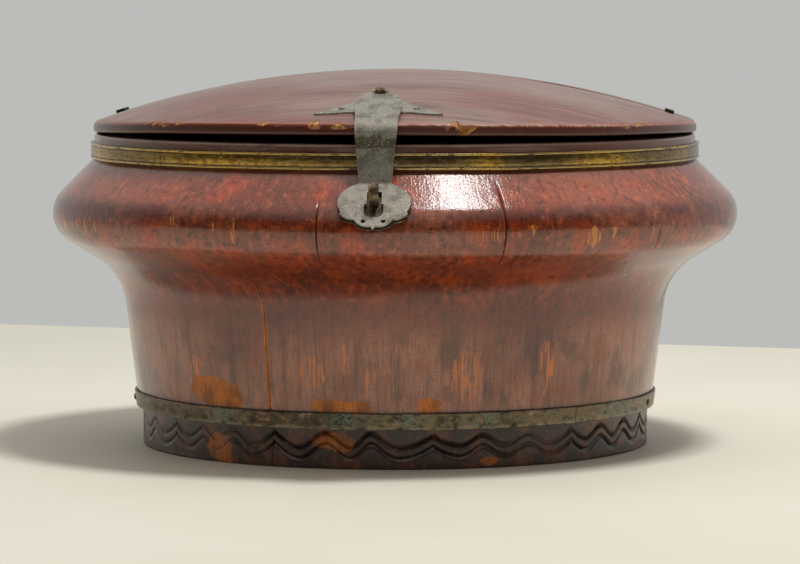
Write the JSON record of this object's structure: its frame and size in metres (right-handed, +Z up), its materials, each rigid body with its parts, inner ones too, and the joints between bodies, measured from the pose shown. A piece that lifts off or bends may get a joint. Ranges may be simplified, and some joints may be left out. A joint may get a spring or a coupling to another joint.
{
  "type": "lidded wooden container",
  "caption": "Round coopered wooden box with a bulging shoulder, a low domed lid hinged at the back, metal hoops and a front hasp that closes over a staple.",
  "frame": {"origin": "centre of the foot on the table, on the box's axis", "axes": "+Z up along the box's axis, the hasp faces -Y and the lid hinges at +Y"},
  "size_m": [0.4, 0.41, 0.2179],
  "materials": {
    "lacquered_wood": "worn red lacquer",
    "lid_wood": "dusty worn lacquer",
    "bare_wood": "bare planed wood",
    "bamboo": "bare bamboo",
    "brass": "darkened, worn bright on its edges",
    "dull_brass": "grey-green patina",
    "grey_metal": "dull, stained",
    "brown_iron": "rust brown",
    "black_iron": "black scale"
  },
  "bodies": {
    "box": {"stave_01": "lacquered_wood", "stave_02": "lacquered_wood", "stave_03": "lacquered_wood", "stave_04": "lacquered_wood", "stave_05": "lacquered_wood", "stave_06": "lacquered_wood", "stave_07": "lacquered_wood", "stave_08": "lacquered_wood", "stave_09": "lacquered_wood", "stave_10": "lacquered_wood", "stave_11": "lacquered_wood", "stave_12": "lacquered_wood", "stave_13": "lacquered_wood", "stave_14": "lacquered_wood", "stave_15": "lacquered_wood", "stave_16": "lacquered_wood", "stave_17": "lacquered_wood", "stave_18": "lacquered_wood", "stave_19": "lacquered_wood", "stave_20": "lacquered_wood", "stave_21": "lacquered_wood", "stave_22": "lacquered_wood", "stave_23": "lacquered_wood", "stave_24": "lacquered_wood", "floor_board_1": "bare_wood", "floor_board_2": "bare_wood", "floor_board_3": "bare_wood", "stave_pins": "bamboo", "upper_hoop": "brass", "upper_hoop_nails": "brass", "lower_hoop": "dull_brass", "lower_hoop_nails": "dull_brass", "lock_plate": "dull_brass", "staple": "brown_iron", "hinge_body_leaf": "grey_metal", "hinge_body_nails": "grey_metal", "hinge_pin": "grey_metal"},
    "lid": {"lid_front_board": "lid_wood", "lid_back_board": "lid_wood", "lid_pins": "bamboo", "lid_cramps": "black_iron", "hasp_plate": "grey_metal", "hasp_plate_nails": "grey_metal", "hasp_split_pin": "brown_iron", "hinge_lid_leaf": "grey_metal", "hinge_lid_nails": "grey_metal"},
    "hasp": {"hasp": "grey_metal"}
  },
  "joints": [
    {"name": "lid_hinge", "type": "hinge", "parent": "box", "child": "lid", "pos_m": [0, 0.1813, 0.18466], "axis": [-1, 0, 0], "range_deg": [0, 110]},
    {"name": "hasp_hinge", "type": "hinge", "parent": "lid", "child": "hasp", "pos_m": [0, -0.13982, 0.20873], "axis": [-1, 0, 0], "range_deg": [0, 180]}
  ]
}
